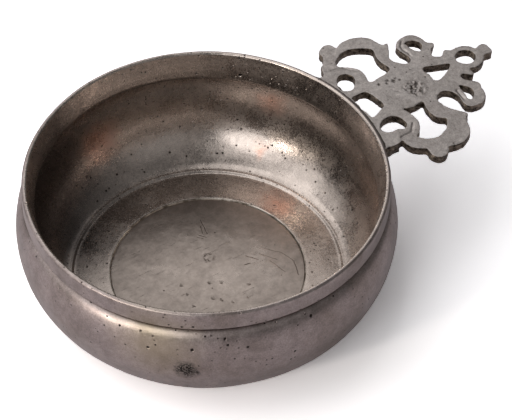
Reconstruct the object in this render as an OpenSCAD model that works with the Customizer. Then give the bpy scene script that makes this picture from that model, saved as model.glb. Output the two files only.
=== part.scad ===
// Pewter porringer: a bellied bowl with an upright collar, a flat soldered-in
// floor disc, and one pierced scroll ear soldered to the outside of the collar.
// Origin: centre of the flat underside. +Z up, the ear points along +X.

/* [Bowl] */
// Diameter over the lip, which is also the collar's outside
rim_d = 134.4; // [110:0.2:165]
// Height from the table to the top of the lip
bowl_h = 52.8; // [44:0.2:66]
// How far the belly stands out past the collar's outside, at its widest
belly_out = 3.4; // [2:0.1:6]
// Depth of the widest belly circle below the lip
belly_drop = 22.9; // [19:0.1:26]
// How far the edge of the flat underside lies inside the widest belly circle
foot_in = 18.3; // [12:0.1:22]
// Thickness of the belly wall
wall_t = 1.9; // [1.4:0.1:2.6]

/* [Collar and lip] */
// Thickness of the lip, rounded over on top
lip_t = 2; // [1.6:0.1:2.6]
// Height of the collar's outside, from the lip down to its undercut edge
collar_h = 7.5; // [6:0.1:9.4]
// How deep the neck is cut in under the collar
neck_in = 2.4; // [1.4:0.1:3]
// How far the collar leans inwards on the inside, down to its sharp edge
collar_lean = 2.2; // [1.2:0.1:2.6]

/* [Floor] */
// Thickness of the bowl's own floor ring
floor_t = 1.8; // [1.4:0.1:2.6]
// Diameter of the soldered-in centre disc
disc_d = 73.8; // [56:0.2:80]
// Thickness of the centre disc, a little less than the floor ring
disc_t = 1.2; // [0.9:0.1:1.4]
// Width of the solder seam round the disc
seam_w = 0.35; // [0.2:0.05:0.6]

/* [Ear] */
// Length of the ear from the collar to the end of its tip knob
ear_len = 62.4; // [50:0.2:78]
// Thickness of the ear casting
ear_t = 3.4; // [2.6:0.1:4.2]
// Depth of the ear's top face below the lip
ear_drop = 1.9; // [1:0.1:2.4]
// Diameter of the hanging hole in the tip ring
hang_hole_d = 7.5; // [5:0.1:8.6]
// Thickness of the solder between the ear and the collar
solder_t = 0.3; // [0.2:0.05:0.6]

/* [Bracket] */
// How far the bracket stands out from the solder, at the middle of the ear
bracket_out = 2.8; // [2:0.1:4]
// How far the bracket runs on past each end of the ear's root
bracket_past = 1.2; // [0:0.1:3]

/* [Hidden] */
$fn = 96;
pewter = [0.40, 0.37, 0.35];
pewter_light = [0.50, 0.47, 0.45];
solder_grey = [0.62, 0.61, 0.60];

collar_r = rim_d / 2;
belly_r = collar_r + belly_out;
foot_r = belly_r - foot_in;
disc_r = disc_d / 2;
seam_r = disc_r + seam_w;
neck_r = collar_r - neck_in;
lip_in_r = collar_r - lip_t;
edge_r = lip_in_r - collar_lean;

collar_z = bowl_h - collar_h;
belly_z = bowl_h - belly_drop;
// Depth of the step under the collar and of the groove below it, outside and then inside
neck_step = 0.8;
neck_groove = 0.6;
edge_step = 1.6;
edge_groove = 1.2;
neck_z = collar_z - neck_step;
neck_low_z = neck_z - neck_groove;
edge_z = collar_z - edge_step;
edge_low_z = edge_z - edge_groove;

ear_top_z = bowl_h - ear_drop;
ear_low_z = ear_top_z - ear_t;
root_r = collar_r + solder_t;
// Deep enough to reach through any piece that is cut, and how far a cut starts outside it
through = 200;
over = 1;
// Facets round the bowl, the disc and the solder
turned_fn = 180;

// Points on an ellipse about [cx, cy], from angle a to angle b
function ellipse_arc(cx, cy, rx, ry, a, b, steps) =
    [for (i = [0:steps]) let (t = a + (b - a) * i / steps) [cx + rx * cos(t), cy + ry * sin(t)]];

// Smooth closed curve through hand-placed points
function blend(p, q, r, s, t) =
    0.5 * (2 * q + (r - p) * t + (2 * p - 5 * q + 4 * r - s) * t * t + (3 * q - p - 3 * r + s) * t * t * t);
function closed_curve(pts, steps) =
    let (n = len(pts))
    [for (i = [0:n - 1], k = [0:steps - 1])
        blend(pts[(i + n - 1) % n], pts[i], pts[(i + 1) % n], pts[(i + 2) % n], k / steps)];

// The lower belly is one ellipse that is vertical at its widest circle and passes through the edge
// of the flat underside. It would close a little below the table.
lower_stretch = 1.08;
lower_h = belly_z * lower_stretch;
lower_fall = sqrt(1 - pow(belly_z / lower_h, 2));
lower_run = (belly_r - foot_r) / (1 - lower_fall);
lower_c = belly_r - lower_run;
foot_angle = -asin(belly_z / lower_h);
floor_angle = -asin((belly_z - floor_t) / (lower_h - wall_t));
// The shoulder starts a few degrees above the widest circle
shoulder_angle = 10;
belly_steps = 18;
shoulder_steps = 9;
lip_steps = 6;

bowl_outline = concat(
    [[seam_r, 0]],
    ellipse_arc(lower_c, belly_z, lower_run, lower_h, foot_angle, 0, belly_steps),
    ellipse_arc(neck_r, belly_z, belly_r - neck_r, neck_low_z - belly_z, shoulder_angle, 90, shoulder_steps),
    [[neck_r, neck_z], [collar_r, collar_z]],
    ellipse_arc(collar_r - lip_t / 2, bowl_h - lip_t / 2, lip_t / 2, lip_t / 2, 0, 180, lip_steps),
    [[edge_r, edge_z]],
    ellipse_arc(edge_r, belly_z, belly_r - wall_t - edge_r, edge_low_z - belly_z, 90, shoulder_angle,
        shoulder_steps),
    ellipse_arc(lower_c, belly_z, lower_run - wall_t, lower_h - wall_t, 0, floor_angle, belly_steps),
    [[seam_r, floor_t]]
);

// Ear outline. x is measured from the collar's outer face, y from the ear's
// centre line, at the size the pattern was cut for.
pattern_len = 62.4;
ear_k = ear_len / pattern_len;
root_half = 21.8;
ring_at = [5.3, 14.5];
ring_r = 9.1;
knob_at = [10.3, 33.1];
knob_r = 3.6;
curl_at = [39.2, 16.4];
curl_r = 6.1;
tip_at = [51, 0];
tip_r = 6.4;
end_knob_at = [59.4, 0];
end_knob_r = 3;
spur_nub_at = [46.9, 6.1];
spur_nub_r = 1.4;
// Width of the short bar between the tip ring and its knob
tip_neck = 4.4;

root_plate = [[-8, -root_half], [1.9, -root_half], [3.2, -22.2], [9, -12], [9, 12],
    [3.2, 22.2], [1.9, root_half], [-8, root_half]];
centre_plate = [[6, -9.7], [32, -9.7], [41.9, -7.6], [44.1, -5.8], [49, -5.2],
    [49, 5.2], [44.1, 5.8], [41.9, 7.6], [32, 9.7], [6, 9.7]];
arch_outer = [[3, 21], [3.4, 25.6], [6, 29.4], [10.3, 32.6], [15, 33.9], [19.2, 34.4], [24, 32.8],
    [27, 29.1], [28.2, 25.4], [30.9, 23.6], [28, 19.8], [26.9, 15.4], [28.5, 11.8], [31.9, 10.4],
    [31, 7], [22, 6], [10, 8], [5, 14]];
// The arch's opening runs in under the ring scroll and the centre plate, which are laid over it
arch_hole = [[6.9, 25.3], [9.3, 27.6], [14.4, 29.2], [19.2, 28.5], [22.4, 26.2], [23, 24.2],
    [22.3, 20.3], [21.9, 15.4], [22.4, 11.4], [21.6, 8.6], [15, 8], [10, 14], [8, 20]];
curl_limb = [[33.9, 9], [34.5, 12.1], [34.6, 15], [34, 17.6], [37, 21.5], [42, 21], [45, 16.8],
    [45.9, 14.3], [44.3, 12.4], [42.4, 9.6], [42, 6], [36, 5]];
middle_hole = [[1.2, -5], [2.4, -6.5], [7.6, -6.4], [9, -4.8], [9, 4.8], [7.6, 6.4], [2.4, 6.5], [1.2, 5]];
tip_hole = [[33.6, -3.6], [34.6, -4.4], [39, -3.1], [43.4, -1.5], [43.9, 0], [43.4, 1.5], [39, 3.1],
    [34.6, 4.4], [33.6, 3.6], [33.4, 0]];
ring_hole = [[0.9, 13.6], [3, 11], [6.4, 10.4], [9.3, 12.2], [9.7, 15.6], [8, 18.3], [6.2, 16.6],
    [4.2, 17.8], [1.9, 17.6]];
curl_hole = [[37.2, 17.8], [38.6, 19.6], [40.2, 17.6], [41.3, 13.6], [41.1, 11.6], [39.3, 12.6], [37.9, 15]];
curve_steps = 4;

module each_side() {
    children();
    mirror([0, 1, 0]) children();
}

// A flat piece of the casting, and a cut that goes right through it
module flat() {
    linear_extrude(ear_t) children();
}
module cut() {
    translate([0, 0, -over]) linear_extrude(ear_t + 2 * over) children();
}
module disc_at(p, r) {
    translate([p[0], p[1], 0]) cylinder(r = r, h = ear_t);
}

module arch() {
    difference() {
        flat() polygon(closed_curve(arch_outer * ear_k, curve_steps));
        cut() polygon(closed_curve(arch_hole * ear_k, curve_steps));
    }
}

module ear_casting() {
    flat() polygon(root_plate * ear_k);
    flat() polygon(centre_plate * ear_k);
    disc_at(tip_at * ear_k, tip_r * ear_k);
    translate([tip_at[0] * ear_k, -tip_neck / 2, 0])
        cube([(end_knob_at[0] - tip_at[0]) * ear_k, tip_neck, ear_t]);
    disc_at(end_knob_at * ear_k, end_knob_r * ear_k);
    each_side() {
        arch();
        disc_at(ring_at * ear_k, ring_r * ear_k);
        disc_at(knob_at * ear_k, knob_r * ear_k);
        disc_at(curl_at * ear_k, curl_r * ear_k);
        disc_at(spur_nub_at * ear_k, spur_nub_r * ear_k);
        flat() polygon(closed_curve(curl_limb * ear_k, curve_steps));
    }
}

module ear_openings() {
    cut() polygon(closed_curve(middle_hole * ear_k, curve_steps));
    cut() polygon(closed_curve(tip_hole * ear_k, curve_steps));
    each_side() {
        cut() polygon(closed_curve(ring_hole * ear_k, curve_steps));
        cut() polygon(closed_curve(curl_hole * ear_k, curve_steps));
    }
}

module bowl_body() {
    color(pewter) rotate_extrude($fn = turned_fn) polygon(bowl_outline);
}

module floor_disc() {
    color(pewter) cylinder(r = disc_r, h = disc_t, $fn = turned_fn);
}

// Thin ring of solder that closes the step between the disc and the floor
module floor_solder() {
    color(solder_grey) rotate_extrude($fn = turned_fn)
        polygon([[disc_r, 0], [seam_r, 0], [seam_r, floor_t], [disc_r, disc_t]]);
}

module ear() {
    color(pewter_light) difference() {
        translate([collar_r, 0, ear_low_z]) difference() {
            ear_casting();
            ear_openings();
        }
        cylinder(r = root_r, h = through, $fn = turned_fn);
        translate([collar_r + tip_at[0] * ear_k, 0, 0]) cylinder(r = hang_hole_d / 2, h = through);
    }
}

// Strip under the ear's root that carries it against the collar
bracket_half = root_half * ear_k + bracket_past;
bracket_x = root_r + bracket_out;

module ear_bracket() {
    color(pewter) difference() {
        translate([0, -bracket_half, collar_z]) cube([bracket_x, 2 * bracket_half, ear_low_z - collar_z]);
        translate([0, 0, -over]) cylinder(r = root_r, h = through, $fn = turned_fn);
    }
}

// Solder between the collar's face and the ear's root and bracket
module ear_solder() {
    color(solder_grey) difference() {
        translate([0, 0, collar_z]) intersection() {
            cylinder(r = root_r, h = ear_top_z - collar_z, $fn = turned_fn);
            translate([0, -bracket_half, 0]) cube([through, 2 * bracket_half, through]);
        }
        cylinder(r = collar_r, h = through, $fn = turned_fn);
    }
}

bowl_body();
floor_disc();
floor_solder();
ear();
ear_bracket();
ear_solder();
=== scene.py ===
import math

import bmesh
import bpy
import numpy as np
from mathutils import Matrix, Quaternion, Vector, noise


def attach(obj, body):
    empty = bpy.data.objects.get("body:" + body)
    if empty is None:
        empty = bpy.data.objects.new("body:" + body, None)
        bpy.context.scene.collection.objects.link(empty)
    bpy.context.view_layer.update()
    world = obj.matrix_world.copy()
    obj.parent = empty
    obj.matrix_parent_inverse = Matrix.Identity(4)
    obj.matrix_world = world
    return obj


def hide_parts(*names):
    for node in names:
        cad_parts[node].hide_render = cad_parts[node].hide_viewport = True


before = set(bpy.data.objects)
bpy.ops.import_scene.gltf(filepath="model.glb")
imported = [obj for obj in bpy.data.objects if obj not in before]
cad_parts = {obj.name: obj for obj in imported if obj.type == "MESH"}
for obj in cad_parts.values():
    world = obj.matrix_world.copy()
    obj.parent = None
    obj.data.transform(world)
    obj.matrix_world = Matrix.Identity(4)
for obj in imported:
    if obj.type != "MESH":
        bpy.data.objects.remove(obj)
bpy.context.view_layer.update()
scene = bpy.context.scene
MM = 0.001


# The camera: the studio view, 47 degrees down on the bowl. The bowl stands turned so that its ear
# points away to the right. Distances are from the bowl's axis.
ear_turn = math.radians(31.47)
camera_back = 505.2 * MM
camera_height = 568.95 * MM
look_pan = 0.036
look_down = 0.814
camera_roll = 0.005


def from_view(across, away, up):
    """A point given to the right of and away from the photographer, in the part's own frame."""
    c, s = math.cos(ear_turn), math.sin(ear_turn)
    return Vector((c * across + s * away, -s * across + c * away, up))


camera = bpy.data.objects.new("camera", bpy.data.cameras.new("camera"))
scene.collection.objects.link(camera)
camera.data.sensor_width = 36
camera.data.lens = 140.6
camera.data.clip_start = 0.01
camera.data.clip_end = 20
camera.location = from_view(0, -camera_back, camera_height)
looking = from_view(
    math.sin(look_pan) * math.cos(look_down), math.cos(look_pan) * math.cos(look_down), -math.sin(look_down))
camera.rotation_mode = "QUATERNION"
camera.rotation_quaternion = looking.to_track_quat("-Z", "Y") @ Quaternion((0, 0, 1), camera_roll)
scene.camera = camera


# The studio: a white paper floor in a dim room under soft boxes. The broadest are overhead and to the
# front left, with a small warm one low on that side for the sharp highlights. The right one is faint.
def add(tree, kind, inputs=None, **settings):
    """Adds a node with its settings. An input takes a value, a socket, or a node for its first output."""
    made = tree.nodes.new(kind)
    for name, value in settings.items():
        setattr(made, name, value)
    for key, value in (inputs or {}).items():
        named = isinstance(key, str)
        into = next(s for s in made.inputs if s.name == key and s.enabled) if named else made.inputs[key]
        if isinstance(value, bpy.types.Node):
            value = next(s for s in value.outputs if s.enabled)
        if isinstance(value, bpy.types.NodeSocket):
            tree.links.new(value, into)
        else:
            into.default_value = value
    return made


def linear(code):
    """An sRGB hex colour as the linear colour that a shader takes."""
    parts = [int(code[i:i + 2], 16) / 255 for i in (1, 3, 5)]
    return (*[c / 12.92 if c <= 0.04045 else ((c + 0.055) / 1.055) ** 2.4 for c in parts], 1)


def new_material(name):
    made = bpy.data.materials.new(name)
    made.use_nodes = True
    made.node_tree.nodes.clear()
    return made, made.node_tree


# Matt white background paper. To the eye it is a strong white that only a shadow greys, in reflections it
# is a softer white, and for the light that it throws back it is ordinary paper.
paper, t = new_material("matt_white_paper")
path = add(t, "ShaderNodeLightPath")
tone = add(t, "ShaderNodeMix", {"Factor": path.outputs[
    "Is Glossy Ray"], "A": linear("#d0cdd0"), "B": (0.74, 0.71, 0.74, 1)}, data_type="RGBA")
seen = add(t, "ShaderNodeMath", {0: path.outputs["Is Camera Ray"], 1: path.outputs["Is Transmission Ray"]},
           operation="MAXIMUM")
tone = add(t, "ShaderNodeMix", {"Factor": seen, "A": tone, "B": (1.95, 1.92, 1.95, 1)}, data_type="RGBA")
sheet = add(t, "ShaderNodeBsdfDiffuse", {"Color": tone})
add(t, "ShaderNodeOutputMaterial", {"Surface": sheet})
half = 4.0
mesh = bpy.data.meshes.new("floor")
mesh.from_pydata([(-half, -half, 0), (half, -half, 0), (half, half, 0), (-half, half, 0)], [], [(0, 1, 2, 3)])
mesh.materials.append(paper)
floor = bpy.data.objects.new("floor", mesh)
scene.collection.objects.link(floor)

room = bpy.data.worlds.new("studio_room")
room.use_nodes = True
scene.world = room
t = room.node_tree
t.nodes.clear()
path = add(t, "ShaderNodeLightPath")
room_light = add(t, "ShaderNodeBackground", {"Color": (1, 1, 1, 1), "Strength": 0.18})
room_dim = add(t, "ShaderNodeBackground", {"Color": (1, 1, 1, 1), "Strength": 0.17})
room_white = add(t, "ShaderNodeBackground", {"Color": (1, 1, 1, 1), "Strength": 1.0})
walls = add(t, "ShaderNodeMixShader", {0: path.outputs["Is Glossy Ray"], 1: room_light, 2: room_dim})
seen = add(t, "ShaderNodeMath", {0: path.outputs["Is Camera Ray"], 1: path.outputs["Is Transmission Ray"]},
           operation="MAXIMUM")
walls = add(t, "ShaderNodeMixShader", {0: seen, 1: walls, 2: room_white})
add(t, "ShaderNodeOutputWorld", {"Surface": walls})


def studio_place(bearing, rise, distance):
    """A place round the bowl: bearing 0 is straight away from the camera and 90 is to the right."""
    b, e = math.radians(bearing), math.radians(rise)
    return from_view(math.sin(b) * math.cos(e) * distance, math.cos(b) * math.cos(e) * distance,
                     math.sin(e) * distance)


def soft_box(name, bearing, rise, distance, width, height, watts, colour):
    lamp = bpy.data.lights.new(name, "AREA")
    lamp.shape = "RECTANGLE"
    lamp.size = width
    lamp.size_y = height
    lamp.energy = watts
    lamp.color = linear(colour)[:3]
    made = bpy.data.objects.new(name, lamp)
    made.location = studio_place(bearing, rise, distance)
    made.rotation_mode = "QUATERNION"
    made.rotation_quaternion = (-made.location).to_track_quat("-Z", "Y")
    scene.collection.objects.link(made)


soft_box("top_box", -72, 66, 1.3, 1.0, 1.0, 4.8, "#ffffff")
soft_box("broad_box", -128, 42, 1.3, 1.1, 0.8, 2.6, "#ffffff")
soft_box("front_box", -150, 30, 1.3, 0.7, 0.6, 3.0, "#ffffff")
soft_box("left_box", -88, 25, 1.3, 0.9, 0.8, 1.7, "#ffffff")
soft_box("away_box", 0, 50, 1.3, 1.0, 0.6, 1.7, "#ffffff")
soft_box("low_box", -24, 22, 1.3, 1.1, 0.5, 2.3, "#ffffff")
soft_box("right_box", 150, 34, 1.3, 0.9, 0.6, 0.35, "#ffffff")
soft_box("key_box", -128, 20, 1.0, 0.1, 0.1, 2.0, "#fff6ea")

scene.view_settings.view_transform = "Standard"


# The bowl: collar, belly and floor ring are one pewter casting, skimmed inside and out on a lathe, and
# now a little dented and out of round. The floor is open in the middle for the disc.
collar_r = 67.2
lip_t = 2.0
bowl_h = 52.8
belly_r = 70.6
belly_z = 29.9
foot_r = 52.3
wall_t = 1.9
neck_r = 64.8
collar_z = 45.3
neck_low_z = 43.9
edge_r = 63.0
edge_z = 43.7
edge_low_z = 42.5
floor_t = 1.8
seam_r = 37.25
lower_h = belly_z * 1.08  # the lower wall is part of an ellipse that would end a little below the foot
lower_run = (belly_r - foot_r) / (1 - math.sqrt(1 - (belly_z / lower_h) ** 2))
lower_c = belly_r - lower_run
foot_angle = -math.degrees(math.asin(belly_z / lower_h))
floor_angle = -math.degrees(math.asin((belly_z - floor_t) / (lower_h - wall_t)))


def ellipse_points(cx, cy, rx, ry, start, end, steps):
    turns = [math.radians(start + (end - start) * i / steps) for i in range(steps + 1)]
    return [(cx + rx * math.cos(a), cy + ry * math.sin(a)) for a in turns]


def eased(points, ease):
    """The points of a profile with each corner named in ease rounded over that many millimetres."""
    out = []
    for i, p in enumerate(points):
        here = np.array(p, float)
        if i not in ease:
            out.append(here)
            continue
        before, after = np.array(points[i - 1], float), np.array(points[(i + 1) % len(points)], float)
        start = here + (before - here) * min(0.45, ease[i] / np.linalg.norm(before - here))
        end = here + (after - here) * min(0.45, ease[i] / np.linalg.norm(after - here))
        out += [(1 - k) ** 2 * start + 2 * k * (1 - k) * here + k * k * end for k in np.linspace(0, 1, 5)]
    return out


def spaced(points, gap, closed):
    """The profile with no two points further apart than gap."""
    out = []
    for p, q in zip(points, points[1:] + points[:1] if closed else points[1:]):
        n = max(1, math.ceil(np.linalg.norm(q - p) / gap))
        out += [p + (q - p) * k / n for k in range(n)]
    return out if closed else out + [points[-1]]


outside_lower = ellipse_points(lower_c, belly_z, lower_run, lower_h, foot_angle, 0, 38)
outside_upper = ellipse_points(neck_r, belly_z, belly_r - neck_r, neck_low_z - belly_z, 6, 90, 15)
lip_r = lip_t / 2
lip = ellipse_points(collar_r - lip_r, bowl_h - lip_r, lip_r, lip_r, 0, 180, 9)
inside_upper = ellipse_points(edge_r, belly_z, belly_r - wall_t - edge_r, edge_low_z - belly_z, 90, 6, 14)
inside_lower = ellipse_points(lower_c, belly_z, lower_run - wall_t, lower_h - wall_t, 0, floor_angle, 36)
bowl_corners = [(seam_r, 0)] + outside_lower + outside_upper
at_neck = len(bowl_corners)
collar_slope = 0.8
bowl_corners += [(neck_r, collar_z - collar_slope), (collar_r, collar_z)] + lip
at_edge = len(bowl_corners)
bowl_corners += [(edge_r, edge_z)] + inside_upper + inside_lower

# A low bead runs round the corner of wall and floor, and its inner flank catches the light. It takes the
# place of the plain corner for bead_reach mm up the wall: up and off the wall, then off and up the floor.
bead_reach = 4.2
bead_on_wall = ((3.8, 0), (2.4, 0.08), (1.1, 0.33))
bead_on_floor = ((0.1, 0.72), (0.85, 0.1), (1.8, 0))
crease, wall_up = np.array(bowl_corners[-1]), np.array(bowl_corners[-4]) - np.array(bowl_corners[-1])
wall_up /= np.linalg.norm(wall_up)
wall_in = np.array((-wall_up[1], wall_up[0]))
bowl_corners = bowl_corners[:at_edge + 3] + [
    c for c in bowl_corners[at_edge + 3:] if np.linalg.norm(np.array(c) - crease) > bead_reach]
bowl_corners += [tuple(crease + wall_up * up + wall_in * off) for up, off in bead_on_wall]
bowl_corners += [(crease[0] - off, crease[1] + up) for off, up in bead_on_floor]
at_crease = len(bowl_corners) - 1
bowl_corners += [(seam_r, floor_t)]
bowl_eases = {
    0: 0.2, 1: 1.2, at_neck: 0.4, at_neck + 1: 0.45, at_edge: 0.4, at_edge + 1: 0.4, at_crease - 3: 0.5,
    at_crease - 2: 0.35, at_crease - 1: 0.35, at_crease: 0.6, at_crease + 1: 0.2}
bowl_line = spaced(eased(bowl_corners, bowl_eases), 1.2, True)


def near(points, spots, reach):
    """How near each point of the profile is to the nearest of the spots: 1 there, 0 from reach mm on."""
    p = np.array(points)
    far = np.min([np.hypot(p[:, 0] - s[0], p[:, 1] - s[1]) for s in spots], axis=0)
    return np.clip(1 - far / reach, 0, 1)


def profile_mesh(name, points, marks):
    """A profile as points in metres, in the order that the lathe reads them, each with its marks."""
    mesh = bpy.data.meshes.new(name)
    mesh.from_pydata([(p[0] * MM, 0, p[1] * MM) for p in points], [], [])
    for label, values in marks.items():
        mesh.attributes.new(label, "FLOAT", "POINT").data.foreach_set("value", np.asarray(values, np.float32))
    return mesh


# The marks that a profile carries: whether a place is inside, rubbed bare with painted glints, dirty
# with painted shade, or near the collar's inner edge. Each fades out a few millimetres from its own
# edge or corner.
marks = ("inside", "worn", "dirt_and_shade", "collar_edge")
# Edges rubbed bare, where glints are also painted: the lip and the collar's edges
bare_and_glinting_edges = [(collar_r - 0.3, bowl_h - 0.5), (collar_r - lip_t + 0.3, bowl_h - 0.4), (collar_r, collar_z),
              (edge_r, edge_z)]
# Dirt with painted shade where the collar overhangs: at the neck outside and under its inner edge
dirty_and_shaded_corners = [(neck_r, collar_z - 1), (edge_r + 0.6, edge_low_z - 0.5)]
line_z = np.array(bowl_line)[:, 1]
bowl_marks = {
    "inside": (np.arange(len(bowl_line)) > line_z.argmax()) * (line_z > 0.5) * 1.0,
    "worn": near(bowl_line, bare_and_glinting_edges, 1.3),
    "dirt_and_shade": near(bowl_line, dirty_and_shaded_corners, 2.2),
    "collar_edge": near(bowl_line, [(edge_r, edge_z)], 5.0),
}


def lathe_tree():
    """Turns a profile round the bowl's axis, knocks it out of round, dents it and roughs it."""
    tree = bpy.data.node_groups.new("pewter_lathe", "GeometryNodeTree")
    face = tree.interface
    face.new_socket("Geometry", in_out="INPUT", socket_type="NodeSocketGeometry")
    for label, value in (("Around", 360), ("Closed", 1)):
        face.new_socket(label, in_out="INPUT", socket_type="NodeSocketInt").default_value = value
    for label, value in (("Out of round", 0.0), ("Out of round size", 75 * MM), ("Dent depth", 0.0),
                         ("Dent size", 15 * MM), (
                             "Grain depth", 0.0), ("Grain size", 3 * MM), ("Edge drop", 0.0)):
        face.new_socket(label, in_out="INPUT", socket_type="NodeSocketFloat").default_value = value
    face.new_socket("Finish", in_out="INPUT", socket_type="NodeSocketMaterial")
    face.new_socket("Geometry", in_out="OUTPUT", socket_type="NodeSocketGeometry")
    into = add(tree, "NodeGroupInput").outputs

    count = add(tree, "GeometryNodeAttributeDomainSize", {"Geometry": into["Geometry"]})
    rows = add(tree, "ShaderNodeMath", {0: count.outputs["Point Count"], 1: into["Closed"]})
    columns = add(tree, "ShaderNodeMath", {0: into["Around"], 1: 1.0})
    grid = add(tree, "GeometryNodeMeshGrid", {"Vertices X": rows, "Vertices Y": columns})
    index = add(tree, "GeometryNodeInputIndex")
    row = add(tree, "ShaderNodeMath", {0: index, 1: columns}, operation="DIVIDE")
    row = add(tree, "ShaderNodeMath", {0: row}, operation="FLOOR")
    column = add(tree, "ShaderNodeMath", {0: index, 1: columns}, operation="FLOORED_MODULO")
    profile_index = add(tree, "ShaderNodeMath", {
        0: row, 1: count.outputs["Point Count"]}, operation="FLOORED_MODULO")
    angle = add(tree, "ShaderNodeMath", {0: column, 1: into["Around"]}, operation="DIVIDE")
    angle = add(tree, "ShaderNodeMath", {0: angle, 1: math.tau}, operation="MULTIPLY")

    place = add(tree, "GeometryNodeInputPosition")
    drawn = add(tree, "GeometryNodeSampleIndex",
                {"Geometry": into[
                    "Geometry"], "Value": place, "Index": profile_index}, data_type="FLOAT_VECTOR")
    turned = add(tree, "ShaderNodeVectorRotate", {"Vector": drawn, "Angle": angle}, rotation_type="Z_AXIS")
    solid = add(tree, "GeometryNodeSetPosition", {"Geometry": grid.outputs["Mesh"], "Position": turned})
    for label in marks:
        mark = add(tree, "GeometryNodeInputNamedAttribute", {"Name": label}, data_type="FLOAT")
        carried = add(tree, "GeometryNodeSampleIndex",
                      {"Geometry": into[
                          "Geometry"], "Value": mark, "Index": profile_index}, data_type="FLOAT")
        solid = add(tree, "GeometryNodeStoreNamedAttribute", {
            "Geometry": solid, "Name": label, "Value": carried},
                    data_type="FLOAT", domain="POINT")
    solid = add(tree, "GeometryNodeMergeByDistance", {"Geometry": solid, "Distance": 0.002 * MM})

    flat = add(tree, "ShaderNodeVectorMath", {0: place, 1: (1.0, 1.0, 0.0)}, operation="MULTIPLY")
    outward = add(tree, "ShaderNodeVectorMath", {0: flat}, operation="NORMALIZE")
    radius = add(tree, "ShaderNodeVectorMath", {0: flat}, operation="LENGTH").outputs["Value"]
    free = add(tree, "ShaderNodeMapRange", {"Value": radius, "From Min": 42 * MM, "From Max": 60 * MM})
    normal = add(tree, "GeometryNodeInputNormal")
    # Each kind of unevenness: its depth and size, the noise value that stays put, its way, and where it is
    for depth, size, middle, direction, share in (
            ("Out of round", "Out of round size", 0.72, outward, free),
            ("Dent depth", "Dent size", 0.62, outward, free), (
                "Grain depth", "Grain size", 0.5, normal, None)):
        scale = add(tree, "ShaderNodeMath", {0: 1.0, 1: into[size]}, operation="DIVIDE")
        bumps = add(tree, "ShaderNodeTexNoise", {"Vector": place, "Scale": scale, "Detail": 1.5})
        off = add(tree, "ShaderNodeMath", {0: bumps, 1: middle}, operation="SUBTRACT")
        off = add(tree, "ShaderNodeMath", {0: off, 1: into[depth]}, operation="MULTIPLY")
        if share:
            off = add(tree, "ShaderNodeMath", {0: off, 1: share}, operation="MULTIPLY")
        move = add(tree, "ShaderNodeVectorMath", {0: direction, "Scale": off}, operation="SCALE")
        solid = add(tree, "GeometryNodeSetPosition", {"Geometry": solid, "Offset": move})

    # The collar's inside edge was turned a little lower on the ear's side
    edge = add(tree, "GeometryNodeInputNamedAttribute", {"Name": "collar_edge"}, data_type="FLOAT")
    toward = add(tree, "ShaderNodeSeparateXYZ", {0: outward})
    toward = add(tree, "ShaderNodeMath", {0: toward, 1: 0.0}, operation="MAXIMUM")
    drop = add(tree, "ShaderNodeMath", {0: toward, 1: edge}, operation="MULTIPLY")
    drop = add(tree, "ShaderNodeMath", {0: drop, 1: into["Edge drop"]}, operation="MULTIPLY")
    drop = add(tree, "ShaderNodeMath", {0: drop, 1: -1.0}, operation="MULTIPLY")
    drop = add(tree, "ShaderNodeCombineXYZ", {"Z": drop})
    solid = add(tree, "GeometryNodeSetPosition", {"Geometry": solid, "Offset": drop})

    smooth = add(tree, "GeometryNodeSetShadeSmooth", {"Geometry": solid})
    real = add(tree, "GeometryNodeRealizeInstances", {"Geometry": smooth})
    done = add(tree, "GeometryNodeSetMaterial", {"Geometry": real, "Material": into["Finish"]})
    add(tree, "NodeGroupOutput", {"Geometry": done})
    return tree


lathe = lathe_tree()


def faces_outward(mesh, merge=0.0):
    """Merges points that lie within merge mm of each other, and turns every face outward."""
    shell = bmesh.new()
    shell.from_mesh(mesh)
    if merge:
        bmesh.ops.remove_doubles(shell, verts=shell.verts, dist=merge * MM)
    bmesh.ops.recalc_face_normals(shell, faces=shell.faces)
    shell.to_mesh(mesh)
    shell.free()


def turn(name, points, profile_marks, finish, sizes):
    """Turns one piece on the lathe and gives it back as a plain mesh object with its faces outward."""
    unmarked = np.zeros(len(points))
    line = profile_mesh(name + "_line", points, {
        label: profile_marks.get(label, unmarked) for label in marks})
    piece = bpy.data.objects.new(name, line)
    scene.collection.objects.link(piece)
    spin = piece.modifiers.new("lathe", "NODES")
    spin.node_group = lathe
    sockets = {s.name: s.identifier for s in lathe.interface.items_tree if s.in_out == "INPUT"}
    for label, value in sizes.items():
        spin[sockets[label]] = value
    spin[sockets["Finish"]] = finish
    made = bpy.data.meshes.new_from_object(piece.evaluated_get(bpy.context.evaluated_depsgraph_get()))
    piece.modifiers.clear()
    piece.data = made
    made.name = name
    bpy.data.meshes.remove(line)
    faces_outward(made)
    # The foot stands flat, so no dent reaches below it
    for corner in made.vertices:
        corner.co.z = max(corner.co.z, 0)
    return piece


def place_in_mm(t):
    """The place on a piece, in millimetres from the middle of the bowl's foot."""
    place = add(t, "ShaderNodeTexCoord").outputs["Object"]
    return add(t, "ShaderNodeVectorMath", {0: place, "Scale": 1000.0}, operation="SCALE")


def shaded(t, tone, *grains):
    """The metal's colour made darker and lighter by each grain, between the two shares given with it."""
    shade = 1.0
    for grain, low, high in grains:
        part = add(t, "ShaderNodeMapRange", {
            "Value": grain, "From Min": 0.3, "From Max": 0.7, "To Min": low, "To Max": high})
        shade = add(t, "ShaderNodeMath", {0: shade, 1: part}, operation="MULTIPLY")
    return add(t, "ShaderNodeVectorMath", {0: tone, "Scale": shade}, operation="SCALE")


def stained(t, tone, where, most, colour):
    """The metal's colour with a stain over it, which hides at most the given share of it."""
    share = add(t, "ShaderNodeMath", {0: where, 1: most}, operation="MULTIPLY")
    return add(t, "ShaderNodeMix", {"Factor": share, "A": tone, "B": linear(colour)}, data_type="RGBA")


def together(t, first, *others):
    """Several kinds of mark as one: the strongest of them at each place."""
    for other in others:
        first = add(t, "ShaderNodeMath", {0: first, 1: other}, operation="MAXIMUM")
    return first


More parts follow.
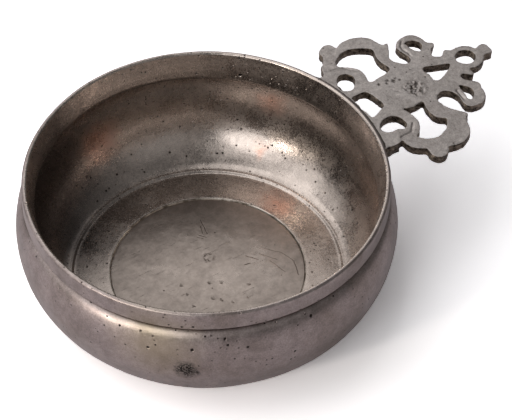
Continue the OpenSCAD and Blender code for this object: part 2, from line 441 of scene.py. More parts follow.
def bare_metal(t, tone, rough, *reliefs):
    """The metal itself: its colour, its gloss, and the patterns that stand out of it by so many mm."""
    height = 0.0
    for pattern, tall in reliefs:
        height = add(t, "ShaderNodeMath", {0: pattern, 1: tall, 2: height}, operation="MULTIPLY_ADD")
    relief = add(t, "ShaderNodeBump", {"Height": height, "Distance": MM, "Strength": 1.0})
    metal = add(t, "ShaderNodeBsdfPrincipled", {
        "Base Color": tone, "Metallic": 1.0, "Roughness": rough, "Normal": relief})
    add(t, "ShaderNodeOutputMaterial", {"Surface": metal})


def pits(t, spot, spacing, reach, share):
    """Round pits up to reach mm in radius, in the given share of cells that lie spacing mm apart."""
    cells = add(t, "ShaderNodeTexVoronoi", {"Vector": spot, "Scale": 1 / spacing})
    pick = add(t, "ShaderNodeSeparateColor", {"Color": cells.outputs["Color"]})
    size = add(t, "ShaderNodeMapRange", {
        "Value": pick, "From Min": 1 - share, "From Max": 1.0, "To Max": reach / spacing})
    inside = add(t, "ShaderNodeMath", {0: size, 1: cells.outputs["Distance"]}, operation="SUBTRACT")
    steep = 2.5
    return add(t, "ShaderNodeMath", {
        0: inside, 1: steep * spacing / reach}, operation="MULTIPLY", use_clamp=True)


def scratches(t, spot, angle, length, width, rarity):
    """Fine straight scratches that run one way, about length mm long and width mm apart."""
    run = add(t, "ShaderNodeMapping", {"Vector": spot, "Rotation": (0.0, 0.0, math.radians(angle)),
                                       "Scale": (1 / length, 1 / width, 1 / length)})
    lines = add(t, "ShaderNodeTexNoise", {"Vector": run, "Scale": 1.0, "Detail": 1.0})
    soft = 0.06
    return add(t, "ShaderNodeMapRange", {"Value": lines, "From Min": rarity, "From Max": rarity + soft})


def turning_lines(t, spot, apart):
    """Faint lines that a cutting tool left round the bowl's axis, apart mm from one to the next."""
    flat = add(t, "ShaderNodeVectorMath", {0: spot, 1: (1.0, 1.0, 0.0)}, operation="MULTIPLY")
    radius = add(t, "ShaderNodeVectorMath", {0: flat}, operation="LENGTH").outputs["Value"]
    outward = add(t, "ShaderNodeVectorMath", {0: flat}, operation="NORMALIZE")
    height = add(t, "ShaderNodeSeparateXYZ", {0: spot}).outputs["Z"]
    height = add(t, "ShaderNodeMath", {0: height, 1: 1 / apart}, operation="MULTIPLY")
    where = add(t, "ShaderNodeCombineXYZ", {"Z": height})
    where = add(t, "ShaderNodeVectorMath", {0: where, 1: outward})
    across = add(t, "ShaderNodeMath", {0: radius, 1: 1 / apart}, operation="MULTIPLY")
    return add(t, "ShaderNodeTexNoise", {"Vector": where, "W": across, "Scale": 1.0, "Detail": 2.0},
               noise_dimensions="4D")


def marks_at(t, spot, places, soft):
    """Round marks at the given places in mm: 1 in the middle of each, and 0 from its radius on."""
    total = 0.0
    for *place, radius in places:
        far = add(t, "ShaderNodeVectorMath", {0: spot, 1: place}, operation="DISTANCE").outputs["Value"]
        mark = add(t, "ShaderNodeMapRange", {
            "Value": far, "From Min": radius * (1 - soft), "From Max": radius, "To Min": 1.0, "To Max": 0.0})
        total = add(t, "ShaderNodeMath", {0: total, 1: mark}, operation="MAXIMUM")
    return total


def wander(t, spot, size, reach):
    """The place moved up to reach mm by noise of the given size, so that a mark on it loses its roundness."""
    drift = add(t, "ShaderNodeTexNoise", {"Vector": spot, "Scale": 1 / size, "Detail": 2.0}).outputs["Color"]
    drift = add(t, "ShaderNodeVectorMath", {0: drift, 1: (0.5, 0.5, 0.5)}, operation="SUBTRACT")
    return add(t, "ShaderNodeVectorMath", {0: drift, 1: (2 * reach, 2 * reach, 2 * reach), 2: spot},
               operation="MULTIPLY_ADD")


# Pewter, cast, turned and then greyed by handling: a dull warm grey that shows soft reflections, with
# brown oxide clouds, small dark pits, faint turning lines and bright rubbed edges that carry painted glints.
# Painted light on it too: painted shade inside on the left, rosy painted reflections inside, and painted
# shade with the dirt under the collar. The turning lines are really about 0.3 mm apart, and are drawn at
# 0.9 mm so that they show.
bowl_pewter, t = new_material("turned_pewter_aged")
spot = place_in_mm(t)
inside = add(t, "ShaderNodeAttribute", attribute_name="inside").outputs["Fac"]
worn = add(t, "ShaderNodeAttribute", attribute_name="worn").outputs["Fac"]
dirt_and_shade = add(t, "ShaderNodeAttribute", attribute_name="dirt_and_shade").outputs["Fac"]
clouds = add(t, "ShaderNodeTexNoise", {"Vector": spot, "Scale": 1 / 24, "Detail": 5.0, "Roughness": 0.62})
smears = add(t, "ShaderNodeTexNoise", {"Vector": spot, "Scale": 1 / 9, "Detail": 4.0, "Roughness": 0.7})
mottle = add(t, "ShaderNodeTexNoise", {"Vector": spot, "Scale": 1 / 2.8, "Detail": 4.0, "Roughness": 0.7})
speckle = add(t, "ShaderNodeTexNoise", {"Vector": spot, "Scale": 1 / 0.55, "Detail": 2.0})
lines = turning_lines(t, spot, 0.9)
base = add(t, "ShaderNodeMix", {
    "Factor": inside, "A": linear("#aa9d9a"), "B": linear("#bfb3ab")}, data_type="RGBA")
oxide_most = add(t, "ShaderNodeMapRange", {"Value": inside, "To Min": 0.75, "To Max": 0.36})
oxide = add(t, "ShaderNodeMapRange", {
    "Value": clouds, "From Min": 0.42, "From Max": 0.66, "To Max": oxide_most})
tone = stained(t, base, oxide, 1.0, "#83766e")
tone = shaded(t, tone, (mottle, 0.84, 1.12), (smears, 0.88, 1.1), (speckle, 0.8, 1.14))

# Painted shade: a dark patch over the inside of the wall and the floor to the left of the ear, where
# the wall only reflects the dim side of the room.
painted_dark_reflection = marks_at(t, wander(t, spot, 14, 9), [(-40, 51, 20, 46)], 0.6)
painted_dark_reflection = add(t, "ShaderNodeMath", {0: painted_dark_reflection, 1: inside}, operation="MULTIPLY")
tone = stained(t, tone, painted_dark_reflection, 0.85, "#383434")

# Rosy painted reflections inside, one straw-coloured bloom outside below the collar, and dirt with
# painted shade in the corners under the collar
loose = wander(t, spot, 5, 4)
# Painted reflections: rosy tints where the polished inside shows warm reflections
painted_rosy_reflection = marks_at(t, loose, [
    (55.4, 39.8, 28.5, 8), (47.9, 36.7, 8.6, 4.5), (-7.5, 66.4, 19.5, 11), (40.8, 13.1, 1.8, 9)], 0.9)
tone = stained(t, tone, painted_rosy_reflection, 0.55, "#c08d78")
straw = marks_at(t, loose, [(-50, -46, 39, 20)], 0.9)
tone = stained(t, tone, straw, 0.35, "#d2c2a2")
# Dirt and painted shade in the corners under the collar
tone = stained(t, tone, dirt_and_shade, 1.0, "#3b342e")

# Casting pits: fine ones in drifts, a few larger ones, the deepest where they are on the piece, and one
# patch of corrosion low on the front
patches = add(t, "ShaderNodeMapRange", {"Value": smears, "From Min": 0.36, "From Max": 0.56})
small = pits(t, spot, 1.8, 0.5, 0.75)
small = add(t, "ShaderNodeMath", {0: small, 1: patches}, operation="MULTIPLY")
large = pits(t, spot, 7.5, 0.8, 0.5)
deep = marks_at(t, wander(t, spot, 0.8, 0.25), [
    (-41.2, -55.8, 37.6, 0.75), (
        -30.3, -61.7, 39.1, 0.6), (-24.2, -64.9, 37.2, 0.6), (-7.7, -69.6, 28.9, 0.65),
    (-42.4, -51.6, 46.4, 0.6), (
        -39.4, -53.9, 46.8, 0.55), (44.1, 45.2, 44.4, 0.9), (-46.6, -47.7, 51.6, 0.5)], 0.5)
patch = marks_at(t, wander(t, spot, 3, 3), [(-43.2, -55.4, 27.7, 5.4)], 0.5)
bitten = add(t, "ShaderNodeMapRange", {"Value": speckle, "From Min": 0.38, "From Max": 0.5})
bitten = add(t, "ShaderNodeMath", {0: patch, 1: bitten}, operation="MULTIPLY")
holes = together(t, small, large, deep, bitten)
tone = stained(t, tone, holes, 1.0, "#2e2825")
# Rubbed edges made paler: part wear, part painted glints
rub_and_glint = add(t, "ShaderNodeMapRange", {"Value": mottle, "From Min": 0.45, "From Max": 0.75, "To Max": 0.2})
rub_and_glint = add(t, "ShaderNodeMath", {0: worn, 1: rub_and_glint}, operation="MULTIPLY")
tone = stained(t, tone, rub_and_glint, 1.0, "#c9c2bb")
rough = add(t, "ShaderNodeMapRange", {
    "Value": smears, "From Min": 0.3, "From Max": 0.7, "To Min": 0.2, "To Max": 0.34})
rough_fine = add(t, "ShaderNodeMapRange", {
    "Value": speckle, "From Min": 0.3, "From Max": 0.7, "To Min": -0.05, "To Max": 0.07})
rough = add(t, "ShaderNodeMath", {0: rough, 1: rough_fine})
handled = add(t, "ShaderNodeMapRange", {"Value": inside, "To Min": 0.11, "To Max": 0.0})
rough = add(t, "ShaderNodeMath", {0: rough, 1: handled})
bare_metal(t, tone, rough, (lines, 0.02), (smears, 0.1), (mottle, 0.05), (speckle, 0.014), (holes, -0.25))

bowl = turn("bowl", bowl_line, bowl_marks, bowl_pewter, {
    "Around": 440, "Out of round": 1.6 * MM, "Dent depth": 0.35 * MM, "Grain depth": 0.03 * MM,
    "Edge drop": 2.0 * MM})
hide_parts("bowl_body")
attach(bowl, "root")


# The floor disc: a round of pewter sheet let into the open floor from inside. It is rubbed pale,
# scratched, and dished a hair.
disc_r = 36.9
disc_t = 1.2
dish = 0.12
disc_corners = [(0, disc_t - dish), (disc_r * 0.55, disc_t - 0.07), (disc_r, disc_t), (disc_r, 0), (0, 0)]
disc_line = spaced(eased(disc_corners, {2: 0.3, 3: 0.2}), 0.9, False)


def line_marks(t, spot, cuts, width):
    """Straight cuts in the floor from one place to another in mm: 1 on the line, 0 from half the width on."""
    flat = add(t, "ShaderNodeVectorMath", {0: spot, 1: (1.0, 1.0, 0.0)}, operation="MULTIPLY")
    total = 0.0
    for start, end in cuts:
        a, b = Vector((*start, 0)), Vector((*end, 0))
        way = add(t, "ShaderNodeVectorMath", {0: flat, 1: a}, operation="SUBTRACT")
        along = add(t, "ShaderNodeVectorMath", {
            0: way, 1: (b - a) / (b - a).length_squared}, operation="DOT_PRODUCT")
        along = add(t, "ShaderNodeMath", {
            0: along.outputs["Value"], 1: 1.0}, operation="MULTIPLY", use_clamp=True)
        foot = add(t, "ShaderNodeVectorMath", {0: b - a, "Scale": along}, operation="SCALE")
        far = add(t, "ShaderNodeVectorMath", {0: way, 1: foot}, operation="DISTANCE").outputs["Value"]
        mark = add(t, "ShaderNodeMapRange", {
            "Value": far, "From Max": width / 2, "To Min": 1.0, "To Max": 0.0})
        total = add(t, "ShaderNodeMath", {0: total, 1: mark}, operation="MAXIMUM")
    return total


# Pewter sheet, rubbed: a little paler and yellower than the casting, cloudy, with fine scratches that
# cross each other, and a few small dark pits. Its scratches are really a few hundredths of a millimetre
# wide, and are drawn at 0.2 to 0.5 mm so that they show.
disc_pewter, t = new_material("rubbed_pewter_sheet")
spot = place_in_mm(t)
clouds = add(t, "ShaderNodeTexNoise", {"Vector": spot, "Scale": 1 / 14, "Detail": 4.0, "Roughness": 0.6})
mottle = add(t, "ShaderNodeTexNoise", {"Vector": spot, "Scale": 1 / 2.6, "Detail": 4.0, "Roughness": 0.65})
tone = add(t, "ShaderNodeMix", {
    "Factor": clouds, "A": linear("#948880"), "B": linear("#b2a69e")}, data_type="RGBA")
tone = shaded(t, tone, (mottle, 0.78, 1.14))
heart = marks_at(t, wander(t, spot, 9, 7), [(-1, -5, 1.1, 38)], 1.0)
heart = add(t, "ShaderNodeMapRange", {"Value": heart, "From Max": 0.8, "To Min": 0.74, "To Max": 1.0})
tone = add(t, "ShaderNodeVectorMath", {0: tone, "Scale": heart}, operation="SCALE")
fine_a = scratches(t, spot, 28, 12, 0.5, 0.72)
fine_b = scratches(t, spot, -50, 9, 0.4, 0.73)
cuts = line_marks(t, wander(t, spot, 3, 0.4), [
    ((8.5, 14.6), (6.6, 17.6)), (
        (7.3, 14.6), (5.6, 16.6)), ((11.6, 23.5), (9.8, 15.8)), ((9.9, 20.8), (8.4, 17)),
    ((24, -2.5), (28.5, -8)), ((28.5, -8), (30, -14)), ((30, -14), (27.5, -21)), ((21, -4), (25, -10)),
    ((22.5, -9), (24, -17)), ((16, -2), (19, -6)), ((13, -5.5), (15.5, -6)), ((8, -27), (12, -28))], 0.5)
scores = together(t, fine_a, fine_b, cuts)
holes = pits(t, spot, 3.2, 0.4, 0.45)
holes = add(t, "ShaderNodeMath", {0: holes, 1: 0.7}, operation="MULTIPLY")
spots = marks_at(t, wander(t, spot, 1.6, 1.0), [
    (-12.5, -1, 1.1, 0.9), (
        -13, -6.5, 1.1, 0.7), (-14, -12.5, 1.1, 0.8), (-3, -6, 1.1, 0.7), (1, -8, 1.1, 0.9),
    (9, -14.5, 1.1, 0.8), (
        5, -20, 1.1, 0.7), (-5.9, -13, 1.1, 1.1), (-3.6, -15.6, 1.1, 0.9), (-1, -18.5, 1.1, 0.9)], 0.95)
spots = add(t, "ShaderNodeMath", {0: spots, 1: 0.75}, operation="MULTIPLY")
loose = wander(t, spot, 2, 1.1)
worn_ring = marks_at(t, loose, [(3.9, 5.3, 1.1, 2.9)], 0.4)
worn_heart = marks_at(t, loose, [(3.9, 5.3, 1.1, 1.9)], 0.5)
worn_ring = add(t, "ShaderNodeMath", {0: worn_ring, 1: worn_heart}, operation="SUBTRACT")
broken = add(t, "ShaderNodeMapRange", {"Value": mottle, "From Min": 0.46, "From Max": 0.58, "To Max": 0.7})
worn_ring = add(t, "ShaderNodeMath", {0: worn_ring, 1: broken}, operation="MULTIPLY")
holes = together(t, holes, spots, worn_ring)
dirt = add(t, "ShaderNodeMath", {0: cuts, 1: 0.8, 2: holes}, operation="MULTIPLY_ADD", use_clamp=True)
tone = stained(t, tone, dirt, 1.0, "#443c35")
rough = add(t, "ShaderNodeMapRange", {
    "Value": clouds, "From Min": 0.3, "From Max": 0.7, "To Min": 0.32, "To Max": 0.26})
bare_metal(t, tone, rough, (mottle, 0.06), (clouds, 0.12), (scores, -0.05), (holes, -0.15))

disc = turn("disc", disc_line, {
    }, disc_pewter, {"Closed": 0, "Grain depth": 0.16 * MM, "Grain size": 14 * MM})
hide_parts("floor_disc")
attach(disc, "root")


# The floor's solder: a thin ring of tin that closes the step between the disc and the floor. It was
# scraped down by hand, so it stands a little proud in places and is sunk in others.
seam_half = 0.16
seam_mid = (disc_r + seam_r) / 2
seam_line = [np.array(c) for c in ((seam_mid + 0.3, 0.1), (seam_mid + 0.32, floor_t - 0.25),
                                   (seam_mid + seam_half, floor_t - 0.02), (seam_mid, floor_t - 0.08),
                                   (seam_mid - seam_half, disc_t + 0.34), (seam_mid - 0.24, disc_t + 0.12),
                                   (seam_mid - 0.42, disc_t - 0.02), (seam_mid - 0.3, 0.1))]

# Tin solder, scraped flush: bright where the scraper reached it, dull and brown between.
seam_tin, t = new_material("scraped_tin_solder")
spot = place_in_mm(t)
mottle = add(t, "ShaderNodeTexNoise", {"Vector": spot, "Scale": 1 / 4, "Detail": 3.0, "Roughness": 0.6})
bright = add(t, "ShaderNodeMapRange", {"Value": mottle, "From Min": 0.38, "From Max": 0.6})
tone = add(t, "ShaderNodeMix", {
    "Factor": bright, "A": linear("#6f655b"), "B": linear("#c8c0b6")}, data_type="RGBA")
rough = add(t, "ShaderNodeMapRange", {"Value": bright, "To Min": 0.45, "To Max": 0.28})
bare_metal(t, tone, rough, (mottle, 0.05))
seam = turn("seam_solder", seam_line, {}, seam_tin, {
    "Around": 720, "Grain depth": 0.09 * MM, "Grain size": 5 * MM})
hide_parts("floor_solder")
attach(seam, "root")


# The ear: one flat pewter casting, pierced as scrolls, with knobs at the sides and a ring at the tip.
# Its outline was filed by hand, so the two sides differ, and its edges are worn round.
ear_mid_z = 49.2
ear_t = 3.6
root_at = 67.2
filed_outline = [
    (-4.8, 20.8), (
        -2.3, 21.4), (-0.7, 21.6), (0.3, 23.3), (1.3, 25.9), (3.1, 27.3), (5, 30.2), (5.2, 33.1), (7.1, 34.8),
    (9.4, 35.5), (11.2, 34.9), (12.2, 33.1), (12.5, 31.9), (14.7, 33), (18.1, 33.6), (21.3, 33), (24.3, 31.5),
    (26.4, 29.4), (
        27.4, 26.6), (28.3, 23.8), (29.4, 23.4), (30.7, 23.4), (29.9, 21.6), (28.3, 19), (26.5, 16.4),
    (26.3, 14.6), (
        27.1, 12.7), (28.6, 10.8), (30.2, 9.9), (31.8, 10), (32.8, 11.7), (32.8, 13.7), (32.1, 16.3),
    (31.9, 18.5), (
        32.4, 20.4), (34.3, 22), (36.7, 22.9), (39.2, 22.9), (41.4, 22), (42.8, 20.2), (43.5, 17.9),
    (43.7, 15.9), (
        44.4, 14.8), (45.4, 14.3), (45.4, 13.2), (44.2, 12), (42.7, 11.1), (41.1, 8.7), (41.1, 7.6),
    (42.5, 6.5), (
        43.8, 6), (45.1, 6.9), (46.1, 8), (47.4, 8.1), (48.1, 7.1), (49.3, 6.8), (51.3, 6.9), (53.4, 6.5),
    (55.2, 5.6), (56.6, 4.2), (57.3, 2.6), (58.4, 2.7), (59.9, 3.2), (61.5, 2.7), (62.3, 1.4), (62.3, -0.6),
    (61.7, -2.6), (
        60.2, -2.8), (58.2, -2.5), (56.6, -4.1), (54.7, -5.4), (52.5, -6.1), (50.4, -6), (48.9, -5.3),
    (48.5, -6.6), (
        48.4, -8.4), (47.3, -8.9), (45.9, -7.6), (44.6, -6.4), (43.3, -6.9), (43, -8.7), (44, -10.3),
    (45.5, -11.8), (46.7, -13.3), (46.6, -15), (45.9, -16.4), (45.5, -18.6), (44.5, -20.9), (42.6, -22.6),
    (40.5, -23.2), (
        38.3, -23.1), (36.3, -22.4), (35.1, -21), (35, -18.9), (35.5, -16.8), (35.7, -14.5), (34.9, -12.2),
    (33.4, -10.5), (
        31.3, -10), (29.2, -10.9), (28, -12.8), (27.9, -15), (28.1, -16.7), (28.9, -18.8), (30.1, -20.6),
    (31.4, -22.4), (32.6, -24), (32.8, -25.3), (31.3, -26.4), (30.1, -28.1), (29.3, -30.5), (28.1, -32.7),
    (25.9, -34.4), (23.3, -35.7), (20.6, -36), (18.2, -35.6), (16.4, -35.1), (14.8, -36.8), (12.8, -37.8),
    (10.9, -37.9), (
        9.5, -37), (8.7, -35.3), (8.7, -33.3), (8.9, -31.5), (7, -30.1), (5.3, -28.5), (4.3, -26.7),
    (4, -24.9), (
        4, -23), (2.8, -23.3), (1.2, -23.8), (-0.5, -23.6), (-2.1, -23.3), (-4.6, -22.6), (-2.5, -15.2),
    (-1.3, -8), (-0.8, 0), (-1.3, 8), (-2.5, 15.2)]
filed_openings = {
    "left_arch": [
        (7.4, 24.9), (
            9.5, 26.7), (12.3, 28.1), (15.1, 28.4), (17.7, 27.8), (20.2, 26.5), (22.2, 25), (23.4, 23.7),
        (23.3, 22), (
            22.6, 20.3), (22.1, 18.2), (22.1, 15.8), (22.6, 13.4), (22.9, 11.3), (21.4, 10.1), (19.1, 9.5),
        (16.2, 9.3), (
            13.7, 8.9), (12.5, 9.1), (12.1, 9.9), (12.7, 11.9), (13.1, 13.7), (13, 15.8), (12.4, 17.7),
        (11.1, 19.5), (8.9, 21.3), (7.1, 22.9)],
    "left_ring": [
        (1.9, 16.1), (
            3.6, 18), (5.4, 18.4), (7, 17.7), (8.2, 16.2), (8.5, 14.5), (7.6, 12.4), (6.2, 10.7), (4.6, 9.6),
        (2.8, 9.6), (1.2, 10.3), (0.5, 11.9), (0.8, 13.9)],
    "left_curl": [
        (36.3, 19.6), (
            37.9, 19.9), (39.8, 19), (41, 17.4), (41.3, 15.6), (40.3, 14), (38.8, 12.8), (37.7, 13.3),
        (36.9, 14.6), (36.3, 16.6), (36, 18.2)],
    "slot": [
        (33.3, 4), (34.6, 4.5), (
            36.8, 3.7), (40, 2.4), (42.9, 1.3), (43.7, 0.4), (41.1, -1.6), (38.1, -3.2), (36, -4),
        (34.4, -4.1), (33.3, -3.2), (33.5, -1.5), (33.7, 0.5), (33, 2.1)],
    "tip_ring": [
        (48.3, 3.2), (
            50.1, 4.3), (51.7, 4.3), (53.6, 3.7), (54.9, 2.2), (55.1, 0.2), (54.4, -1.7), (52.6, -3),
        (50.8, -3.3), (49, -2.7), (47.7, -1.2), (47.2, 0.4), (47.5, 1.9)],
    "right_curl": [
        (39.4, -10.8), (
            40.9, -12.1), (42.1, -13.9), (42.2, -15.8), (41.1, -17.9), (39.6, -19.2), (38.4, -19.1),
        (37.9, -18.1), (38.4, -16.4), (38.6, -14.8), (38.9, -12.6)],
    "right_arch": [
        (13.9, -9.5), (16, -10.5), (18.5, -10.8), (21, -10.6), (22.6, -10.4), (22.3, -11.8), (21.6, -13.8),
        (21.3, -16.6), (
            21.6, -19.1), (22.7, -21.1), (24.6, -22.6), (23.4, -24.6), (21.8, -26.4), (19.3, -27.8),
        (16.8, -28.5), (14.6, -28.3), (12.5, -27.4), (10.9, -26), (9.7, -24.3), (11.5, -23.1), (13.3, -21.5),
        (14.5, -19.4), (15.1, -16.7), (15, -14), (14.6, -11.4)],
    "right_ring": [
        (1.1, -12.9), (
            3.3, -11), (5.9, -10.2), (8.2, -10.7), (9.8, -11.9), (10.6, -14), (10.6, -16.2), (9.7, -17.9),
        (8, -18.3), (6.2, -17.3), (4.5, -17.2), (2.6, -17), (1.3, -16), (0.8, -14.6)],
    "middle": [
        (1.3, 5.5), (
            4.5, 6), (7.2, 5.7), (8.5, 3.5), (9, 0.5), (9.4, -2.4), (8.9, -4.4), (7.1, -5.2), (5.4, -5.9),
        (3.8, -6.7), (2, -7.1), (1.6, -5.7), (1.6, -3.6), (1.1, -1.4), (1.4, 1), (1.4, 3.6)],
}


def smooth_loop(points, steps):
    """A smooth closed curve through the given places, with so many steps from each to the next."""
    out = []
    for i in range(len(points)):
        a, b, c, d = (np.array(points[(i + k) % len(points)], float) for k in (-1, 0, 1, 2))
        for t in np.arange(steps) / steps:
            out.append(0.5 * (2 * b + (c - a) * t + (2 * a - 5 * b + 4 * c - d) * t ** 2
                              + (3 * b - a - 3 * c + d) * t ** 3))
    return out


def sawn_plate(name, loops, thickness, mid_z):
    """A flat plate of the given outline and openings, in metres, as a mesh."""
    outline = bpy.data.curves.new(name, "CURVE")
    outline.dimensions = "2D"
    outline.fill_mode = "BOTH"
    outline.extrude = thickness * MM / 2
    for loop in loops:
        spline = outline.splines.new("POLY")
        spline.points.add(len(loop) - 1)
        for point, (x, y) in zip(spline.points, loop):
            point.co = ((root_at + x) * MM, y * MM, 0, 1)
        spline.use_cyclic_u = True
    blank = bpy.data.objects.new(name, outline)
    scene.collection.objects.link(blank)
    mesh = bpy.data.meshes.new_from_object(blank.evaluated_get(bpy.context.evaluated_depsgraph_get()))
    bpy.data.objects.remove(blank)
    bpy.data.curves.remove(outline)
    mesh.transform(Matrix.Translation((0, 0, mid_z * MM)))
    return mesh


def skinned(name, mesh, voxel, rounds):
    """The mesh merged and remade as one even skin, with its edges worn round."""
    faces_outward(mesh, 0.002)
    mesh.materials.clear()
    piece = bpy.data.objects.new(name, mesh)
    scene.collection.objects.link(piece)
    skin = piece.modifiers.new("skin", "REMESH")
    skin.mode = "VOXEL"
    skin.voxel_size = voxel * MM
    skin.use_smooth_shade = True
    soft = piece.modifiers.new("worn", "SMOOTH")
    soft.factor = 0.5
    soft.iterations = rounds
    made = bpy.data.meshes.new_from_object(piece.evaluated_get(bpy.context.evaluated_depsgraph_get()))
    piece.modifiers.clear()
    piece.data = made
    made.name = name
    return piece


def points_and_normals(mesh):
    """The places of a mesh's points in mm, and the ways that they face."""
    places, ways = (np.empty(len(mesh.vertices) * 3, np.float32) for _ in range(2))
    mesh.vertices.foreach_get("co", places)
    mesh.vertex_normals.foreach_get("vector", ways)
    return places.reshape(-1, 3).astype(float) / MM, ways.reshape(-1, 3).astype(float)


def move_points(mesh, points):
    mesh.vertices.foreach_set("co", (points * MM).astype(np.float32).ravel())
    mesh.update()


def lumps(points, size, seed):
    """Smooth noise between about -1 and 1 at each point, with lumps about size mm across."""
    return np.array([noise.noise(Vector(p / size) + Vector((seed, seed, seed))) for p in points])


def line_distance(points, line):
    """How far each point lies, seen from above, from a line through the given places."""
    best = np.full(len(points), 1e9)
    for a, b in zip(line, line[1:]):
        a, b = np.array(a), np.array(b)
        k = np.clip((points[:, :2] - a) @ (b - a) / ((b - a) @ (b - a)), 0, 1)
        best = np.minimum(best, np.linalg.norm(points[:, :2] - a - k[:, None] * (b - a), axis=1))
    return best


loops = [smooth_loop(filed_outline, 4)] + [smooth_loop(loop, 4) for loop in filed_openings.values()]
ear = skinned("ear_casting", sawn_plate("ear_blank", loops, ear_t, ear_mid_z), 0.3, 4)
p, n = points_and_normals(ear.data)
# How far each point is on a filed wall, and how far on the top face
wall = np.clip((0.8 - np.abs(n[:, 2])) / 0.4, 0, 1)
top = np.clip((n[:, 2] - 0.6) / 0.3, 0, 1)
moved = p.copy()
# Lines are cut where one scroll laps over the next, and a hollow full of pocks is worn in the middle
curl_lines = [[(33.9, 12.4), (34.2, 14.6), (33.6, 17.2), (34, 19), (35.6, 20.8)],
              [(37.2, -12.6), (36.9, -15), (36.6, -18)],
              [(3.6, 22.4), (8.5, 20.6), (11.2, 17.6)], [(4.6, -21.6), (9.6, -21.2), (12.6, -18)]]
line_depth = 0.4
line_reach = 0.45
hollow_at = (24.7, -3)
hollow_depth = 0.3
hollow_reach = 2.6
pock_depth = 0.55
pock_reach = 4.6
for line in curl_lines:
    far = line_distance(moved, [(x + root_at, y) for x, y in line])
    moved[:, 2] -= top * line_depth * np.exp(-(far / line_reach) ** 2)
hollow = np.hypot(moved[:, 0] - root_at - hollow_at[0], moved[:, 1] - hollow_at[1])
pocked = np.clip(lumps(moved, 0.9, 5.0), -0.3, 1)
moved[:, 2] -= top * (hollow_depth * np.exp(-(hollow / hollow_reach) ** 4)
                      + np.exp(-(hollow / pock_reach) ** 4) * pock_depth * pocked)

# The top is a little wavy, and the skin is uneven, most of all down the filed walls
moved[:, 2] += top * 0.16 * lumps(moved, 9, 1.0)
moved += n * ((wall * 0.2 + 0.05) * lumps(moved, 2.4, 2.0))[:, None]
moved += n * (0.04 * lumps(moved, 0.8, 3.0))[:, None]
ear_end_x = 129.55
ear_low_z, ear_high_z = 47.3, 51.1
moved[:, 0] = np.minimum(moved[:, 0], ear_end_x)
moved[:, 2] = np.clip(moved[:, 2], ear_low_z, ear_high_z)
move_points(ear.data, moved)
ear.data.attributes.new("wall", "FLOAT", "POINT").data.foreach_set("value", wall.astype(np.float32))
ear.data.attributes.new("hollow", "FLOAT", "POINT").data.foreach_set(
    "value", (top * np.exp(-(hollow / 4.8) ** 4)).astype(np.float32))

# Pewter as it came from the mould, filed on its edges: paler and duller than the turned bowl, speckled
# with small casting pits, with brown dirt down the filed walls and slanting marks of a coarse file.
ear_pewter, t = new_material("filed_cast_pewter")
spot = place_in_mm(t)
walls = add(t, "ShaderNodeAttribute", attribute_name="wall").outputs["Fac"]
pocks = add(t, "ShaderNodeAttribute", attribute_name="hollow").outputs["Fac"]
clouds = add(t, "ShaderNodeTexNoise", {"Vector": spot, "Scale": 1 / 9, "Detail": 4.0, "Roughness": 0.6})
mottle = add(t, "ShaderNodeTexNoise", {"Vector": spot, "Scale": 1 / 1.7, "Detail": 4.0, "Roughness": 0.7})
speckle = add(t, "ShaderNodeTexNoise", {"Vector": spot, "Scale": 1 / 0.5, "Detail": 2.0})
tone = add(t, "ShaderNodeMix", {
    "Factor": clouds, "A": linear("#958c87"), "B": linear("#d2cac6")}, data_type="RGBA")
tone = shaded(t, tone, (mottle, 0.62, 1.18), (speckle, 0.82, 1.12))
holes = pits(t, spot, 2.1, 0.5, 0.4)
deep = marks_at(t, wander(t, spot, 0.9, 0.9), [
    (85.4, 6.0, 50.9, 0.9), (87.3, 4.7, 50.9, 1.2), (89.7, 4.0, 50.9, 0.8), (81.5, 6.1, 50.9, 0.9),
    (88.6, 5.6, 50.9, 0.7), (84.2, 4.8, 50.9, 0.6)], 0.9)
holes = together(t, holes, deep)
bare = add(t, "ShaderNodeMapRange", {"Value": mottle, "From Min": 0.38, "From Max": 0.64})
dirty = add(t, "ShaderNodeMix", {
    "Factor": bare, "A": linear("#30271f"), "B": linear("#9c8e80")}, data_type="RGBA")
filth = add(t, "ShaderNodeMapRange", {"Value": walls, "From Min": 0.5, "From Max": 0.9})
tone = add(t, "ShaderNodeMix", {"Factor": filth, "A": tone, "B": dirty}, data_type="RGBA")
# Painted highlight with wear: a pale line along the rounded edges between the top and the filed walls
edge = add(t, "ShaderNodeMapRange", {"Value": walls, "From Min": 0.5, "From Max": 0.1, "To Max": 4.0})
edge = add(t, "ShaderNodeMath", {0: edge, 1: walls}, operation="MULTIPLY", use_clamp=True)
edge = add(t, "ShaderNodeMath", {0: edge, 1: mottle}, operation="MULTIPLY")
tone = stained(t, tone, edge, 1.0, "#cfc8c3")
pock_dirt = add(t, "ShaderNodeMapRange", {"Value": mottle, "From Min": 0.45, "From Max": 0.6})
pock_dirt = add(t, "ShaderNodeMath", {0: pock_dirt, 1: pocks}, operation="MULTIPLY")
tone = stained(t, tone, together(t, holes, pock_dirt), 1.0, "#3d342d")
rough = add(t, "ShaderNodeMapRange", {
    "Value": mottle, "From Min": 0.3, "From Max": 0.7, "To Min": 0.36, "To Max": 0.55})
slant = add(t, "ShaderNodeVectorMath", {
    0: spot, 1: (0.7, -0.7, 1.0)}, operation="DOT_PRODUCT").outputs["Value"]
slant = add(t, "ShaderNodeMath", {0: slant, 1: 1 / 0.9}, operation="MULTIPLY")
filed = add(t, "ShaderNodeTexNoise", {"W": slant, "Scale": 1.0, "Detail": 1.0}, noise_dimensions="1D")
filed = add(t, "ShaderNodeMath", {0: filed, 1: walls}, operation="MULTIPLY")
bare_metal(t, tone, rough, (mottle, 0.16), (speckle, 0.04), (holes, -0.3), (filed, 0.9))
ear.data.materials.append(ear_pewter)
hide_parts("ear")
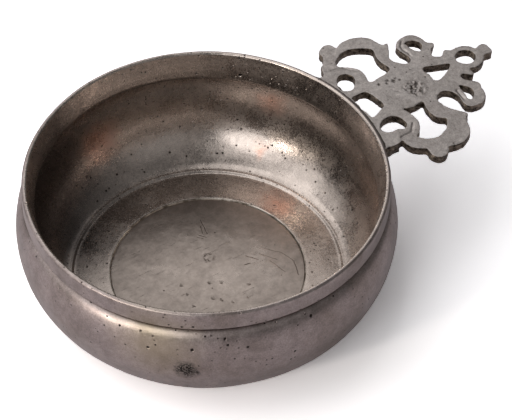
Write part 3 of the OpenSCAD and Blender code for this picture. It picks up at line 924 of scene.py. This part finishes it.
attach(ear, "root")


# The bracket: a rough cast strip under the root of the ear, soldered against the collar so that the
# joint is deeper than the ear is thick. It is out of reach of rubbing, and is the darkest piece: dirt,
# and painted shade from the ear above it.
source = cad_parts["ear_bracket"]
mesh = source.data.copy()
mesh.transform(source.matrix_world)
bracket = skinned("bracket_strip", mesh, 0.3, 5)
p, n = points_and_normals(bracket.data)
joint_skin_r = 67.7  # up to here the strip is held in solder and keeps its shape
free = np.clip((np.hypot(p[:, 0], p[:, 1]) - joint_skin_r) / 0.6, 0, 1)
p += n * (free * 0.28 * lumps(p, 2.2, 7.0))[:, None]
move_points(bracket.data, p)

# Pewter as cast: matt, dark brown in its hollows, with a few bare grey spots, and dark all over with
# dirt and painted shade from the ear above.
bracket_pewter, t = new_material("rough_cast_pewter_dirty_and_shaded")
spot = place_in_mm(t)
mottle = add(t, "ShaderNodeTexNoise", {"Vector": spot, "Scale": 1 / 1.6, "Detail": 4.0, "Roughness": 0.7})
bare = add(t, "ShaderNodeMapRange", {"Value": mottle, "From Min": 0.42, "From Max": 0.66})
tone = add(t, "ShaderNodeMix", {
    "Factor": bare, "A": linear("#3a3029"), "B": linear("#7d736a")}, data_type="RGBA")
rough = add(t, "ShaderNodeMapRange", {"Value": bare, "To Min": 0.75, "To Max": 0.5})
bare_metal(t, tone, rough, (mottle, 0.25))
bracket.data.materials.append(bracket_pewter)
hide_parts("ear_bracket")
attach(bracket, "root")


# The ear's solder: tin run in hot between the collar and the ear's root and bracket. It shows as a low
# lumpy fillet along the top of the joint and at its two ends.
joint_r = 67.2
solder_end = 20.2  # degrees round the bowl to each side of the ear's middle
joint_mid_z = 48.5
section = [(-0.9, 45.5), (0.25, 45.4), (0.3, 48.0), (0.3, 50.6), (0.95, 50.85), (0.75, 51.0), (0.45, 51.15),
           (0.2, 51.45), (-0.1, 51.6), (-0.9, 51.5)]
steps = 220
fade_steps = 6
rings = []
for i in range(steps + 1):
    turn_at = math.radians(-solder_end + 2 * solder_end * i / steps)
    swell = 1 + 0.35 * noise.noise(Vector((turn_at * 40, 0.0, 3.0)))
    swell += 0.2 * noise.noise(Vector((turn_at * 130, 0.0, 9.0)))
    fade = min(1.0, min(i, steps - i) / fade_steps + 0.15)
    ring = []
    for out, z in section:
        r = joint_r + (out * swell * fade if out > 0 else out)
        z = joint_mid_z + (z - joint_mid_z) * (0.9 + 0.1 * fade)
        ring.append((r * math.cos(turn_at), r * math.sin(turn_at), z))
    rings.append(ring)
wide = len(section)
corners = [(x * MM, y * MM, z * MM) for ring in rings for x, y, z in ring]
sides = [(i * wide + k, i * wide + (k + 1) % wide, (i + 1) * wide + (k + 1) % wide, (i + 1) * wide + k)
         for i in range(steps) for k in range(wide)]
sides += [tuple(reversed(range(wide))), tuple(steps * wide + k for k in range(wide))]
mesh = bpy.data.meshes.new("ear_solder_bead")
mesh.from_pydata(corners, [], sides)
faces_outward(mesh)
mesh.shade_smooth()
bead = bpy.data.objects.new("ear_solder_bead", mesh)
scene.collection.objects.link(bead)

# Tin solder, as run: it dulls to a darker grey than pewter, cloudy and a little lumpy.
tin, t = new_material("run_tin_solder")
spot = place_in_mm(t)
mottle = add(t, "ShaderNodeTexNoise", {"Vector": spot, "Scale": 1 / 1.3, "Detail": 3.0, "Roughness": 0.6})
tone = add(t, "ShaderNodeMix", {
    "Factor": mottle, "A": linear("#4c443d"), "B": linear("#948b84")}, data_type="RGBA")
rough = add(t, "ShaderNodeMapRange", {
    "Value": mottle, "From Min": 0.3, "From Max": 0.7, "To Min": 0.35, "To Max": 0.55})
bare_metal(t, tone, rough, (mottle, 0.15))
bead.data.materials.append(tin)
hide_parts("ear_solder")
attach(bead, "root")
